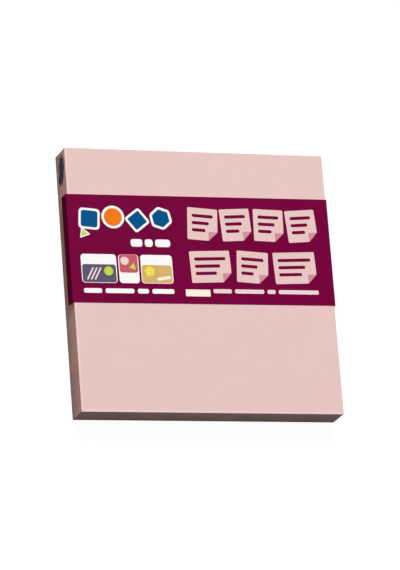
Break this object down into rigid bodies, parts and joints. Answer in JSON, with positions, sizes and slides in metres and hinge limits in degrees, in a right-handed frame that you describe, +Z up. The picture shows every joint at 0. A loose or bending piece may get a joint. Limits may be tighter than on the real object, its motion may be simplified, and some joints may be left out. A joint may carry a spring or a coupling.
{
  "type": "sticky note pad",
  "caption": "Square pad of pale pink sticky notes with a folded dark red paper label strip across the front.",
  "frame": {"origin": "middle of the underside of the backing sheet", "axes": "+Z up out of the front sheet, +Y towards the glued edge, +X across the pad to the right as the front is read"},
  "size_m": [0.0774, 0.076, 0.0087],
  "materials": {
    "note_paper": "matte pale pink paper",
    "backing_paper": "smooth off-white release paper",
    "label_paper": "smooth printed paper, dark red"
  },
  "bodies": {
    "root": {"note_block": "note_paper", "backing_sheet": "backing_paper", "label": "label_paper"}
  },
  "joints": []
}
